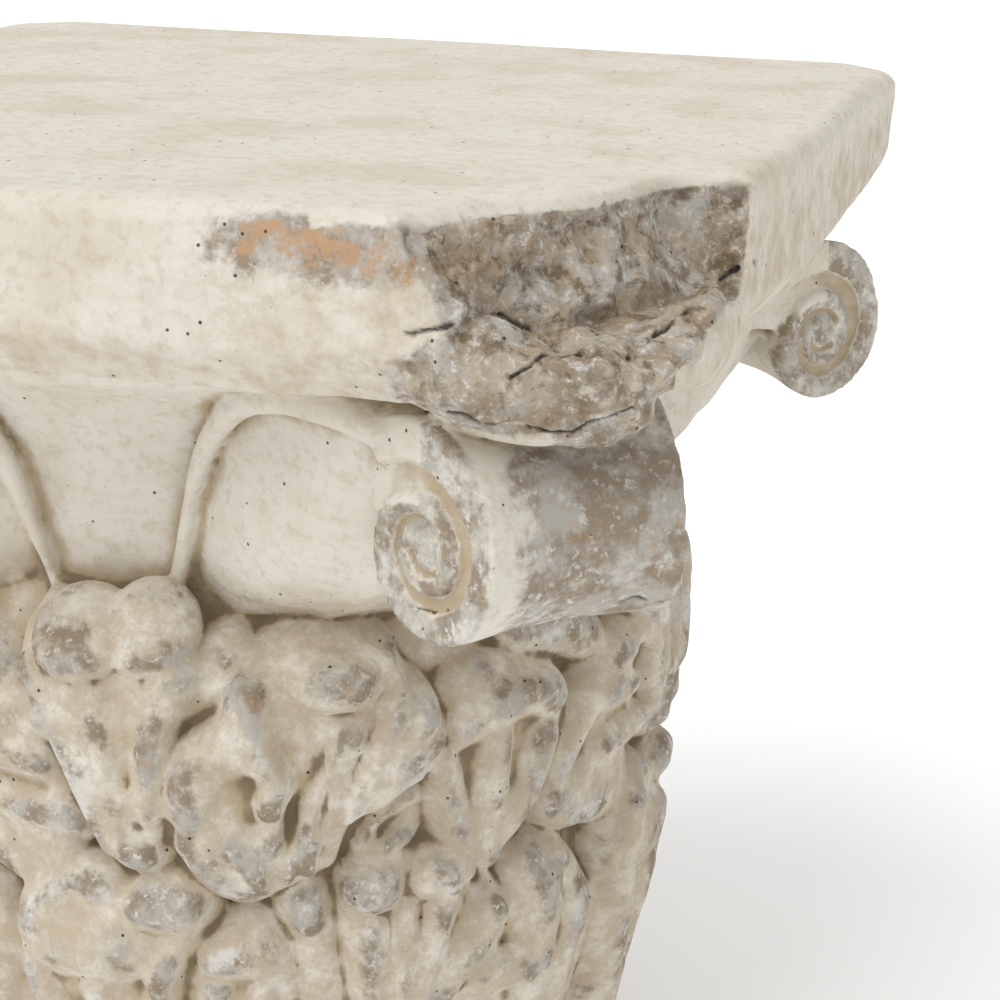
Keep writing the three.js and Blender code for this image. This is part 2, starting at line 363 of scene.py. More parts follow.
# %% Volutes
EYE_REACHES = [201, 211, 207, 207]
EYE_HEIGHT = 275
ROLL_RADIUS = 37
TURN_SHRINK = 0.46
TURNS = 2.35
ROLL_START = -0.12
RIBBON_SHARE = 0.33
ROLL_HALF_WIDTH = 36
ROLL_SPLAY = math.tan(math.radians(12))
ROLL_WAIST = 0.09
CHANNEL_DEPTH = 3.4
WEB_LEVELS = [(222, 112), (236, 138), (252, 164), (276, 190), (321, 214)]
WEB_ROOT = 60
WEB_HALF = 36
WEB_SPREAD = 0.3
WEB_SPREAD_FROM = 100
WEB_ROUNDING = 0.6
WEB_BELLY = 0.25
CORE_START = -0.22
CORE_SHARE = 0.9
EYE_BUTTON = (0.12, 0.25)
RIBBON_CUTS = 63
CORE_CUTS = 31
WEB_CUTS = 31
DIAGONALS = [FRONT + math.pi / 4 + quarter * math.pi / 2 for quarter in range(4)]


def corner_points(diagonal, reach, across, height):
    c, s = math.cos(diagonal), math.sin(diagonal)
    return np.stack([reach * c - across * s, reach * s + across * c, height], axis=1)


def roll_points(corner, turn, radius, side, recess):
    eye = EYE_REACHES[corner]
    reach = eye + radius * np.sin(2 * math.pi * turn)
    height = EYE_HEIGHT + radius * np.cos(2 * math.pi * turn)
    width = ROLL_HALF_WIDTH - ROLL_SPLAY * (reach - eye) - recess
    return corner_points(DIAGONALS[corner], reach, side * width, height)


def wind_ribbon(corner):
    ribbon = block("ribbon", RIBBON_CUTS)
    u, v, w = points_of(ribbon).T
    turn = ROLL_START + (TURNS - ROLL_START) * (u + 1) / 2
    outer = ROLL_RADIUS * TURN_SHRINK**turn
    waist = 1 - ROLL_WAIST * (1 - v * v) * (w > 0)
    radius = outer * (1 - RIBBON_SHARE * (1 - w) / 2) * waist
    move_points(ribbon, roll_points(corner, turn, radius, v, 0))
    clay.append(ribbon)


def fill_roll(corner):
    core = block("roll_core", CORE_CUTS)
    u, v, w = points_of(core).T
    turn = (u + 1) / 2 + CORE_START
    share = (w + 1) / 2
    radius = CORE_SHARE * ROLL_RADIUS * TURN_SHRINK**turn * share
    recess = CHANNEL_DEPTH * smooth_step(*EYE_BUTTON, share)
    move_points(core, roll_points(corner, turn, radius, v, recess))
    clay.append(core)


def grow_web(corner):
    web = block("web", WEB_CUTS)
    u, v, w = points_of(web).T
    heights, reaches = np.array(WEB_LEVELS, dtype=float).T
    height = heights[0] + (heights[-1] - heights[0]) * (w + 1) / 2
    reach = np.interp(height, heights, reaches)
    along = WEB_ROOT + (reach - WEB_ROOT) * (u + 1) / 2
    half = WEB_HALF + WEB_SPREAD * (EYE_REACHES[corner] - np.maximum(along, WEB_SPREAD_FROM))
    round_end = np.sqrt(1 - WEB_ROUNDING * smooth_step(0.2, 1, u) ** 2)
    belly = 1 - WEB_BELLY * np.abs(w) ** 3 * (w < 0)
    move_points(web, corner_points(DIAGONALS[corner], along, v * half * round_end * belly, height))
    clay.append(web)


for corner in range(4):
    wind_ribbon(corner)
    fill_roll(corner)
    grow_web(corner)
print("volutes", len(DIAGONALS))

# %% [markdown]
# ## Stems
# Two stems climb each face of the bell and lean over to the corners, where they feed the volutes. Each is
# a thin raised rib: a sphere drawn out along a curve that is given by angle, radius and height.

# %% Stems
STEM_PATH = [
    (9, 116, 222), (11.5, 124, 250), (15, 133, 281), (21, 151, 304), (28, 171, 310), (35, 186, 302)
]
STEM_STEP = 0.01
STEM_END_POWER = 8
STEM_WIDTHS = [2.6, 2.8, 3.0, 4.5, 6.5, 7.0]
unit_ball = ball("unit_ball")
unit_points = points_of(unit_ball)


def stem_centres(face, hand, at):
    degrees, radius, height = spline(STEM_PATH, at).T
    angle = face + hand * np.radians(degrees)
    return np.stack([radius * np.cos(angle), radius * np.sin(angle), height], axis=1)


def draw_stem(face, hand):
    stem = copy_of(unit_ball, "stem")
    t = np.arccos(np.clip(-unit_points[:, 2], -1, 1)) / math.pi
    centre = stem_centres(face, hand, t)
    after = stem_centres(face, hand, np.minimum(t + STEM_STEP, 1))
    ahead = after - stem_centres(face, hand, np.maximum(t - STEM_STEP, 0))
    ahead /= np.linalg.norm(ahead, axis=1)[:, None]
    sideways = np.cross(ahead, centre * (1, 1, 0))
    sideways /= np.linalg.norm(sideways, axis=1)[:, None]
    lift = np.cross(sideways, ahead)
    width = np.interp(t, np.linspace(0, 1, len(STEM_WIDTHS)), STEM_WIDTHS)
    angle = np.arctan2(unit_points[:, 1], unit_points[:, 0])
    round_end = np.sqrt(np.clip(1 - (2 * t - 1) ** STEM_END_POWER, 0, 1)) * width
    aside = (round_end * np.cos(angle))[:, None] * sideways
    move_points(stem, centre + (aside + (round_end * np.sin(angle))[:, None] * lift))
    clay.append(stem)


FACES = [FRONT + quarter * math.pi / 2 for quarter in range(4)]
for face_angle, hand in product(FACES, (1, -1)):
    draw_stem(face_angle, hand)
print("stems", 2 * len(FACES))

# %% [markdown]
# ## Acanthus leaves
# Carved leaves are a relief: broad bodies with softer folds and curls raised on them. A turned ring is
# cut very finely, and its points are pushed outwards, as a carver would leave them standing. Everything
# is drawn on the unrolled bell, in millimetres across from the middle of a face and up from the foot. A
# body is a height and a smooth outline. A fold or a groove is a line with its half-width and its rise or
# depth. Where two bodies meet, the higher one wins, which leaves a crisp crease.

# %% Leaf bodies and folds
LEAF_BED = [
    (104, 13), (110, 30), (118, 70), (126, 105), (127, 125), (127, 150), (129, 176), (130, 203), (126, 220),
    (118, 234),
]
WRAP_RADIUS = 145
LEAVES = {
    "twin": (15, [
        (-24, 218), (-15, 200), (-8, 184), (1, 164), (8, 152), (21, 150), (26, 160), (27, 186), (30, 204),
        (37, 220), (16, 241), (-16, 236)
    ]),
    "spread": (17, [
        (46, 206), (49, 216), (64, 225), (80, 228), (96, 223), (101, 212), (110, 205), (114, 194),
        (110, 184), (99, 177), (86, 168), (77, 153), (64, 147), (51, 141), (38, 147), (29, 161), (26, 173),
        (31, 190), (39, 199)
    ]),
    "side lobe": (12, [
        (37, 222), (49, 224), (51, 218), (46, 209), (36, 203), (25, 201), (24, 206), (31, 216)
    ]),
    "small curl": (10, [(84, 160), (93, 170), (103, 176), (109, 172), (108, 158), (101, 152), (87, 153)]),
    "veined": (10, [
        (120, 204), (135, 209), (156, 207), (167, 196), (168, 176), (158, 163), (146, 147), (133, 138),
        (124, 143), (112, 158), (110, 176), (116, 193)
    ]),
    "shoulder": (10, [(146, 226), (166, 224), (192, 210), (190, 200), (170, 207), (148, 213)]),
    "far rim": (14, [
        (214, 206), (192, 200), (176, 189), (165, 168), (170, 160), (180, 174), (194, 186), (214, 192)
    ]),
    "edge": (10, [
        (-46, 196), (-28, 192), (-16, 186), (-8, 176), (-3, 162), (-13, 153), (-29, 155), (-46, 150)
    ]),
    "low edge": (12, [(162, 158), (186, 164), (214, 158), (214, 136), (190, 139), (168, 146)]),
    "heart": (15, [
        (-31, 122), (-26, 136), (-15, 145), (-1, 147), (11, 142), (23, 149), (36, 145), (39, 136), (34, 124),
        (27, 106), (20, 60), (14, 26), (0, 26), (-22, 80)
    ]),
    "bud": (12, [
        (30, 108), (34, 122), (45, 131), (57, 132), (65, 123), (66, 106), (58, 60), (50, 26), (42, 26),
        (35, 60)
    ]),
    "slip": (12, [(62, 137), (66, 146), (74, 146), (78, 136), (81, 122), (84, 98), (72, 90), (66, 120)]),
    "crest": (14, [
        (82, 139), (83, 149), (95, 154), (107, 151), (119, 152), (127, 142), (125, 129), (117, 117),
        (112, 90), (104, 28), (92, 28), (85, 90), (82, 120)
    ]),
    "slant": (13, [
        (112, 110), (124, 129), (137, 134), (146, 124), (142, 112), (127, 100), (120, 60), (112, 60)
    ]),
    "dome": (13, [
        (142, 124), (145, 135), (157, 140), (172, 136), (183, 124), (190, 110), (184, 90), (172, 28),
        (158, 28), (150, 80)
    ]),
    "low dome": (10, [
        (120, 100), (141, 112), (158, 106), (168, 90), (162, 50), (148, 28), (130, 28), (122, 60)
    ]),
    "foot": (8, [(184, 100), (200, 110), (206, 90), (200, 26), (180, 26)]),
}
FOLDS = [
    ([(-20, 213), (-12, 196), (-2, 178), (8, 158)], 5, 4),
    ([(3, 182), (10, 166), (16, 156)], 8, 4),
    ([(27, 214), (22, 192), (20, 172)], 6, 4),
    ([(33, 216), (27, 204)], 5, 4),
    ([(2, 208), (6, 190)], 6, 3),
    ([(47, 211), (46, 201), (53, 191)], 4, 5),
    ([(53, 212), (55, 198), (61, 184), (59, 177)], 6, 7),
    ([(45, 193), (38, 192), (34, 184), (34, 174)], 10, 5),
    ([(40, 160), (54, 155)], 14, 5),
    ([(81, 200), (71, 174), (65, 153)], 3, 4),
    ([(84, 199), (78, 174), (70, 153)], 3, 4),
    ([(98, 218), (101, 212), (96, 206)], 4, 3),
    ([(88, 158), (95, 167), (104, 172)], 4, 3),
    ([(105, 158), (90, 155)], 4, 3),
    ([(123, 193), (143, 198), (161, 196)], 9, 5),
    ([(114, 181), (117, 168), (122, 152)], 8, 5),
    ([(136, 184), (134, 166), (129, 146)], 8, 4),
    ([(157, 180), (150, 162), (136, 145)], 8, 4),
    ([(131, 155), (125, 142)], 3, 5),
    ([(-40, 183), (-20, 182)], 7, 5),
    ([(-40, 165), (-9, 164)], 7, 5),
    ([(-12, 121), (9, 122)], 12, 5),
    ([(-16, 134), (-20, 126)], 10, 4),
    ([(19, 139), (30, 138)], 9, 6),
    ([(-22, 110), (-8, 70), (2, 30)], 7, 4),
    ([(0, 106), (6, 70), (8, 30)], 6, 4),
    ([(24, 118), (18, 70), (12, 30)], 7, 4),
    ([(42, 122), (57, 122)], 9, 5),
    ([(41, 108), (44, 40)], 5, 4),
    ([(56, 108), (50, 40)], 5, 4),
    ([(70, 139), (71, 134)], 7, 4),
    ([(91, 128), (91, 100), (95, 40)], 6, 4),
    ([(102, 134), (101, 100), (98, 40)], 5, 4),
    ([(115, 132), (110, 100), (102, 40)], 7, 4),
    ([(138, 126), (128, 113), (116, 98)], 7, 4),
    ([(160, 128), (157, 90), (160, 40)], 9, 4),
    ([(176, 116), (172, 80), (168, 40)], 8, 4),
    ([(137, 102), (152, 98)], 10, 5),
]
FAN_FOOT = (83, 172)
FAN_RIMS = [(97, 203), (108, 202), (110, 192), (104, 182), (93, 173)]
FOLDS += [([FAN_FOOT, rim], 5, 5) for rim in FAN_RIMS]
GROOVES = [
    ([(12, 208), (14, 196), (16, 182)], 5, 2),
    ([(67, 180), (60, 149)], 3, 2.5),
    ([(68, 202), (69, 184)], 7, 2),
    ([(83, 192), (80, 172), (72, 155)], 3, 2.5),
    ([(96, 162), (103, 167)], 5, 2),
]
RIM_SOFTNESS = 11
RIM_GROWTH = 4
LINE_STEPS = 6
BED_CUTS = 3
WALL_SHARE = (0.97, 0.99)
QUARTER_SHIFT = 3
LEAF_SEED = 41


def bed_radius(height):
    radii, heights = zip(*LEAF_BED)
    return np.interp(height, heights, radii)


def unrolled(points, quarter):
    """Millimetres across from the middle of one face, and up."""
    turn = np.arctan2(points[:, 1], points[:, 0]) - FRONT - quarter * math.pi / 2
    return np.stack([WRAP_RADIUS * (np.mod(turn + math.pi, 2 * math.pi) - math.pi), points[:, 2]], axis=1)


def smooth_line(rows, closed=False):
    count = len(rows) if closed else len(rows) - 1
    at = np.linspace(0, count, LINE_STEPS * count + 1)
    if closed:
        return spline([rows[-1], *rows, *rows[:2]], (at + 1) / (count + 2))
    return spline(rows, at / count)


def line_gap(flat, line):
    gap = np.full(len(flat), np.inf)
    for start, end in zip(line, line[1:]):
        arm, way = flat - start, end - start
        along = np.clip(arm @ way / (way @ way), 0, 1)
        gap = np.minimum(gap, np.linalg.norm(arm - along[:, None] * way, axis=1))
    return gap


def close_to(flat, line, margin):
    after, before = flat > line.min(axis=0) - margin, flat < line.max(axis=0) + margin
    return np.flatnonzero(np.all(after & before, axis=1))


def raise_body(flat, relief, top, outline):
    edge = smooth_line(outline, closed=True)
    near = close_to(flat, edge, RIM_GROWTH)
    across, up = flat[near].T
    inside = np.zeros(len(near), dtype=bool)
    for (x0, y0), (x1, y1) in zip(edge, edge[1:]):
        crossing = (up < y0) != (up < y1)
        inside[crossing] ^= across[crossing] < x0 + (up[crossing] - y0) * (x1 - x0) / (y1 - y0)
    depth = np.where(inside, 1, -1) * line_gap(flat[near], edge)
    rise = np.clip((depth + RIM_GROWTH) / RIM_SOFTNESS, 0, 1)
    relief[near] = np.maximum(relief[near], top * np.sqrt(1 - (1 - rise) ** 2))


def raise_fold(flat, layer, line, half, rise):
    line = smooth_line(line)
    near = close_to(flat, line, half)
    gap = line_gap(flat[near], line)
    layer[near] = np.maximum(layer[near], rise * np.clip(1 - (gap / half) ** 2, 0, 1))


def leaf_relief(points):
    random = np.random.default_rng(LEAF_SEED)
    bodies, folds, grooves = np.zeros((3, len(points)))
    for quarter in range(4):
        shift = np.zeros(2) if quarter == 0 else random.uniform(-QUARTER_SHIFT, QUARTER_SHIFT, 2)
        flat = unrolled(points, quarter) - shift
        for top, outline in LEAVES.values():
            raise_body(flat, bodies, top, outline)
        for line in FOLDS:
            raise_fold(flat, folds, *line)
        for line in GROOVES:
            raise_fold(flat, grooves, *line)
    return bodies + folds - grooves


def carve_leaves():
    turned("leaf_bed", smooth_rings(LEAF_BED))
    bed = clay[-1]
    apply_modifier(bed, "SUBSURF", subdivision_type="SIMPLE", levels=BED_CUTS, render_levels=BED_CUTS)
    points = points_of(bed)
    relief = leaf_relief(points)
    radius = np.hypot(points[:, 0], points[:, 1])
    on_wall = smooth_step(*WALL_SHARE, radius / bed_radius(points[:, 2]))
    points[:, :2] *= (1 + relief * on_wall / np.maximum(radius, 1))[:, None]
    move_points(bed, points)
    print("leaf ring", len(points), "points, relief up to", round(float(relief.max())), "mm")


carve_leaves()

# %% [markdown]
# ## Leaf tips
# The fat tips of the leaves hang over, which no push outwards can give. They are pads: spheres that are
# stretched and laid on the ring. Each is given by its place across, up and out, and by its half-sizes.

# %% Leaf tips
TIPS = [
    ((-2, 226, 13), (17, 14, 13)),
    ((21, 229, 12), (16, 14, 12)),
    ((79, 215, 15), (15, 9, 12)),
    ((92, 143, 10), (11, 9, 11)),
    ((115, 143, 10), (12, 9, 11)),
]
TIP_SHIFT = 1.5


def lay_tips():
    random = np.random.default_rng(LEAF_SEED)
    for quarter, (place, half) in product(range(4), TIPS):
        push = np.zeros(3) if quarter == 0 else random.uniform(-TIP_SHIFT, TIP_SHIFT, 3)
        across, height, out = (unit_points * half + np.array(place) + push).T
        turn = FRONT + quarter * math.pi / 2 + across / WRAP_RADIUS
        radius = bed_radius(height) + out
        tip = copy_of(unit_ball, "leaf_tip")
        move_points(tip, np.stack([radius * np.cos(turn), radius * np.sin(turn), height], axis=1))
        clay.append(tip)


lay_tips()
bpy.data.objects.remove(unit_ball)
print("pieces of clay", len(clay))

# %% [markdown]
# ## Fuse the clay
# The pieces are joined into one object, and a voxel Remesh modifier rebuilds a single skin around them,
# which is the quickest way to weld dozens of overlapping lumps. A few rounds of Smooth take the voxel
# steps off.

# %% Fuse the clay
VOXEL = 1.3
LEAF_TOP = 248
SMOOTH_ROUNDS = [(3, ""), (1, "soft")]
SMOOTH_SHARE = 0.5


def fuse(pieces):
    bpy.ops.object.select_all(action="DESELECT")
    for piece in pieces:
        piece.select_set(True)
    bpy.context.view_layer.objects.active = pieces[0]
    bpy.ops.object.join()
    whole = bpy.context.object
    whole.name = "capital_cast"
    whole.data.name = "capital_cast"
    apply_modifier(whole, "REMESH", mode="VOXEL", voxel_size=VOXEL * MM)
    soft = whole.vertex_groups.new(name="soft")
    low = np.flatnonzero(points_of(whole)[:, 2] < LEAF_TOP)
    soft.add(low.tolist(), 1.0, "REPLACE")
    for rounds, group in SMOOTH_ROUNDS:
        apply_modifier(whole, "SMOOTH", factor=SMOOTH_SHARE, iterations=rounds, vertex_group=group)
    return whole


capital = fuse(clay)
print("fused skin", len(capital.data.polygons), "faces")

# %% [markdown]
# ## Wear and tear
# Now the skin is worked over like the real casting. Everything gets a slight unevenness, fine veins fan
# out over the leaves, the break gets a coarse grain, and the flat top and the underside are left alone so
# the capital still sits flat. The break is found by asking how deep a point lies inside the unbroken
# slab.

# %% Wear and tear
VEIN_COUNT = 26
VEIN_DEPTH = 0.7
VEIN_WAVER = [(1.5, 20, 16)]
VEIN_SIDE = (32, 24)
VEIN_FOOT = (0, 12)
VEIN_END = 25
VEIN_ROOT = 0.3
LEAF_AXES = [
    (12, 150, 80), (70, 143, 72), (138, 125, 80), (3, 14, 112), (49, 16, 100), (103, 15, 120), (166, 14, 95)
]
BREAK_CORNER = (100, -75)
BREAK_SKIN = (2.5, 6)
BREAK_LEVEL = (326, 333)
RAW_LUMPS = 2
LUMP_MARGIN = 3
LUMP_RAW = 0.75
LUMP_EDGE = (1.15, 0.95)
FLAT_MARGIN = (0.3, 4)
SOFT_WEAR = [(0.7, 24, 11), (0.4, 9, 12)]
COARSE_WEAR = [(2.6, 15, 13), (2.4, 6.5, 14), (1.4, 3.2, 15)]


def normals_of(piece):
    flat = np.empty(3 * len(piece.data.vertices), dtype=np.float32)
    piece.data.vertex_normals.foreach_get("vector", flat)
    return flat.reshape(-1, 3).astype(float)


def slab_depth(points):
    """How deep points lie inside the unbroken abacus, in millimetres."""
    x, y = np.abs(points[:, 0]), np.abs(points[:, 1])
    chamfer = (2 * ABACUS_HALF - HORN_CHAMFER - x - y) / math.sqrt(2)
    return np.minimum.reduce([ABACUS_HALF - x, ABACUS_HALF - y, chamfer, HEIGHT - points[:, 2]])


def find_break(points):
    """How bare each point is, from 0 to 1: the broken face and the lumps below it."""
    corner = (points[:, 0] > BREAK_CORNER[0]) & (points[:, 1] < BREAK_CORNER[1])
    bare = corner * smooth_step(*BREAK_SKIN, slab_depth(points)) * smooth_step(*BREAK_LEVEL, points[:, 2])
    for place, size in LUMPS[:RAW_LUMPS]:
        away = np.linalg.norm((points - np.array(place)) / (np.array(size) + LUMP_MARGIN), axis=1)
        bare = np.maximum(bare, LUMP_RAW * smooth_step(*LUMP_EDGE, away))
    return bare


def leaf_veins(points):
    """Ridges that fan out from the foot of every leaf, from -1 to 1, and 0 off the leaves."""
    ridges = np.zeros(len(points))
    waver = layered(points, VEIN_WAVER)
    for quarter, (middle, foot, top) in product(range(4), LEAF_AXES):
        x, y = (unrolled(points, quarter) - (middle, foot)).T
        on_leaf = smooth_step(*VEIN_SIDE, np.abs(x)) * smooth_step(*VEIN_FOOT, y)
        fan = np.arctan2(x, y + VEIN_ROOT * top)
        ridges += on_leaf * smooth_step(top, top - VEIN_END, y) * np.cos(VEIN_COUNT * fan + waver)
    return np.clip(ridges, -1, 1)


def weather(piece):
    points, normals = points_of(piece), normals_of(piece)
    veins = VEIN_DEPTH * leaf_veins(points)
    broken = find_break(points)
    keep = smooth_step(*FLAT_MARGIN, HEIGHT - points[:, 2]) * smooth_step(*FLAT_MARGIN, points[:, 2])
    soft = layered(points, SOFT_WEAR)
    coarse = layered(points, COARSE_WEAR)
    move = keep * (veins + soft * (1 - broken) + coarse * broken)
    move_points(piece, points + normals * move[:, None])
    return broken


raw = weather(capital)
print("broken share of the skin", round(float(raw.mean()), 3))

# %% [markdown]
# ## Read the skin
# Paint, dirt and painted shade follow the relief: dirt and painted shade gather in hollows and paint wears
# off the high points. Both can be read by comparing each point with a blurred copy of the skin. A point that
# stands out of the blurred skin is high, and one that lies behind it is hollow. The blur simply averages
# each point with its neighbours, again and again.

# %% Read the skin
BROAD_ROUNDS = 50
FINE_ROUNDS = 14


def edges_of(piece):
    flat = np.empty(2 * len(piece.data.edges), dtype=np.int32)
    piece.data.edges.foreach_get("vertices", flat)
    return flat.reshape(-1, 2)


def blur(values, edges, rounds):
    count = len(values)
    ends = np.concatenate([edges[:, 0], edges[:, 1]])
    others = np.concatenate([edges[:, 1], edges[:, 0]])
    share = 1 / np.maximum(np.bincount(ends, minlength=count), 1)
    for _ in range(rounds):
        for axis in range(values.shape[1]):
            values[:, axis] = np.bincount(ends, weights=values[others, axis], minlength=count) * share
    return values


def standing_out(points, normals, edges, rounds):
    """How far each point stands out of the blurred skin, in millimetres."""
    return np.sum((points - blur(points.copy(), edges, rounds)) * normals, axis=1)


skin_points = points_of(capital)
skin_edges = edges_of(capital)
relief = standing_out(skin_points, normals_of(capital), skin_edges, BROAD_ROUNDS)
fine_relief = standing_out(skin_points, normals_of(capital), skin_edges, FINE_ROUNDS)
print("relief from", round(relief.min(), 1), "to", round(relief.max(), 1), "mm")

# %% [markdown]
# ## Paint masks
# The masks are stored on the points of the mesh as attributes, so the material can read them by name:
# `hollow` and `crease` for dirt and painted shade, `leafy` for the zone of the leaves, `worn` for lost
# limewash, `rust` for orange wear and `raw` for the broken face.

# %% Paint masks
HOLLOW_RANGE = (0.2, 2.6)
CREASE_RANGE = (0.2, 1.1)
CREASE_OFF_LEAF = 0.35
LEAFY_RANGE = (250, 232)
WORN_RANGE = (-0.8, 3.0)
WORN_PATCHES = [(1.8, 11, 20)]
FASCIA_TOP = (364, 352)
FASCIA_FOOT = (312, 320)
FASCIA_OUT = (170, 180)
BEVEL_TOP = (336, 326)
DARKER_RIGHT = (20, 120)
FASCIA_DARKENING = 0.16
BEVEL_RIGHT_DARKENING = 0.2
ROLL_EDGE = (1.25, 1.15)
BAND_START = (0.02, 0.1)
BAND_END = (0.62, 0.5)
BAND_RIM = (0.84, 0.9)
BAND_SIDE = (-34, -6)
SCROLL_EDGE = (1.2, 1.1)
SCROLL_SIDE = (27, 31)
SCROLL_HIGH = (-0.5, 0.5)
SCROLL_WORN = 0.75
JOIN_TURN = (0.8, 0.9)
JOIN_RIM = (0.75, 0.85)
CHANNEL_EDGE = (0.98, 0.92)
CHANNEL_SIDE = (24, 28)
CHANNEL_LOW = (0.1, -0.4)
CHANNEL_SHADE_AND_DIRT = 0.7
STREAK_LEFT = (52, 80)
STREAK_RIGHT = (130, 118)
STREAK_FACE = (-176, -186)
STREAK_FOOT = (345, 357)
STREAK_TOP = (371, 365)
STREAK_GAPS = (-0.9, 0.1)
STREAK_RUST = 0.92
RUST_GAPS = (-0.3, 0.6)
RUST_FILL = 0.8
LEAF_RUST = 0.65
ROLL_RUST = 0.5
BREAK_RUST = 0.5


def store(piece, name, values):
    layer = piece.data.attributes.new(name, "FLOAT", "POINT")
    layer.data.foreach_set("value", np.clip(values, 0, 1).astype(np.float32))


# Darkening on the fascia through the hollow mask: a slight tint all over, more towards the right, and more
# on the low bevel, where it is painted shade on a face that turns down.
def fascia_darkening(x, y, z):
    side = np.maximum(np.abs(x), np.abs(y))
    fascia = smooth_step(*FASCIA_TOP, z) * smooth_step(*FASCIA_FOOT, z) * smooth_step(*FASCIA_OUT, side)
    darker = np.maximum(smooth_step(*BEVEL_TOP, z), smooth_step(*DARKER_RIGHT, x))
    return fascia * (FASCIA_DARKENING + BEVEL_RIGHT_DARKENING * darker)


def volute_marks(corner, x, y, z):
    """How worn one volute is, and its dirt and painted shade: a bare band and scroll, and dirt and painted
    shade in the channel.
    """
    c, s = math.cos(DIAGONALS[corner]), math.sin(DIAGONALS[corner])
    out, up = x * c + y * s - EYE_REACHES[corner], z - EYE_HEIGHT
    across = -x * s + y * c
    turn = np.mod(np.arctan2(out, up) / (2 * math.pi), 1)
    outer = np.hypot(out, up) / (ROLL_RADIUS * TURN_SHRINK**turn)
    roll = smooth_step(*ROLL_EDGE, outer) * smooth_step(*BAND_START, turn) * smooth_step(*BAND_END, turn)
    band = roll * smooth_step(*BAND_RIM, outer) * smooth_step(*BAND_SIDE, across)
    side = np.abs(across)
    scroll = smooth_step(*SCROLL_EDGE, outer) * smooth_step(*SCROLL_SIDE, side)
    scroll *= smooth_step(*SCROLL_HIGH, relief)
    scroll *= 1 - smooth_step(*JOIN_TURN, turn) * smooth_step(*JOIN_RIM, outer)
    channel = smooth_step(*CHANNEL_EDGE, outer) * smooth_step(*CHANNEL_SIDE, side)
    channel *= smooth_step(*CHANNEL_LOW, fine_relief)
    return np.maximum(band, SCROLL_WORN * scroll), CHANNEL_SHADE_AND_DIRT * channel


def orange_streak(points):
    x, y, z = points.T
    patchy = smooth_step(*STREAK_GAPS, noise(points, 8, 22))
    streak = smooth_step(*STREAK_LEFT, x) * smooth_step(*STREAK_RIGHT, x) * smooth_step(*STREAK_FACE, y)
    return streak * (smooth_step(*STREAK_FOOT, z) * smooth_step(*STREAK_TOP, z) * patchy)


def paint_masks(piece, broken):
    points = skin_points
    x, y, z = points.T
    leafy = smooth_step(*LEAFY_RANGE, z)
    # Hollow and crease masks: dirt and painted shade where the skin lies behind its blurred copy.
    hollow = np.maximum(smooth_step(*HOLLOW_RANGE, -relief), fascia_darkening(x, y, z))
    crease = smooth_step(*CREASE_RANGE, -fine_relief)
    worn = smooth_step(*WORN_RANGE, relief + layered(points, WORN_PATCHES)) * leafy
    for corner in range(len(DIAGONALS)):
        bare, channel_shade_and_dirt = volute_marks(corner, x, y, z)
        worn = np.maximum(worn, bare)
        hollow = np.maximum(hollow, channel_shade_and_dirt)
    patchy = smooth_step(*RUST_GAPS, noise(points, 26, 21) + RUST_FILL * (1 - leafy))
    rust = (LEAF_RUST * leafy + ROLL_RUST * (1 - leafy)) * worn * patchy
    streak = orange_streak(points)
    store(piece, "hollow", hollow)
    store(piece, "crease", crease * (CREASE_OFF_LEAF + (1 - CREASE_OFF_LEAF) * leafy))
    store(piece, "leafy", leafy)
    store(piece, "worn", np.maximum(worn, streak))
    store(piece, "rust", np.maximum(rust, np.maximum(STREAK_RUST * streak, BREAK_RUST * broken)))
    store(piece, "raw", broken)


paint_masks(capital, raw)
print("masks", [layer.name for layer in capital.data.attributes if layer.data_type == "FLOAT"])

# %% [markdown]
# ## Thin the mesh
# The skin has far more faces than a picture needs. A Decimate modifier joins faces where the surface is
# flat. A vertex group protects the corner that the photograph shows close up, so it keeps more of its
# faces.

# %% Thin the mesh
TRIANGLE_BUDGET = 158000
CLOSE_SLANT = 0.35
CLOSE_FRONT = -60
CLOSE_FOOT = 90
CLOSE_WEIGHT = 0.9
CLOSE_FACTOR = 0.00002


def triangle_count(piece):
    return sum(len(face.vertices) - 2 for face in piece.data.polygons)


def thin(piece):
    close = piece.vertex_groups.new(name="close")
    x, y, z = points_of(piece).T
    seen = np.flatnonzero((y - CLOSE_SLANT * x < CLOSE_FRONT) & (z > CLOSE_FOOT))
    close.add(seen.tolist(), CLOSE_WEIGHT, "REPLACE")
    triangles = triangle_count(piece)
    apply_modifier(
        piece, "DECIMATE", ratio=TRIANGLE_BUDGET / triangles, vertex_group=close.name,
        vertex_group_factor=CLOSE_FACTOR, invert_vertex_group=True,
    )
    piece.vertex_groups.clear()
    piece.data.polygons.foreach_set("use_smooth", [True] * len(piece.data.polygons))
    print("thinned from", triangles, "to", triangle_count(piece), "triangles")


thin(capital)

# %% [markdown]
# ## Cracks
# A crack is a thin sheet that goes into the stone, so on the surface it is a line. Each is given by a few
# points in millimetres and a width, and a little noise makes it waver. The faces along the lines are
# subdivided first, because a line can't be finer than the mesh that carries it. Then the points on the
# line are pushed in.

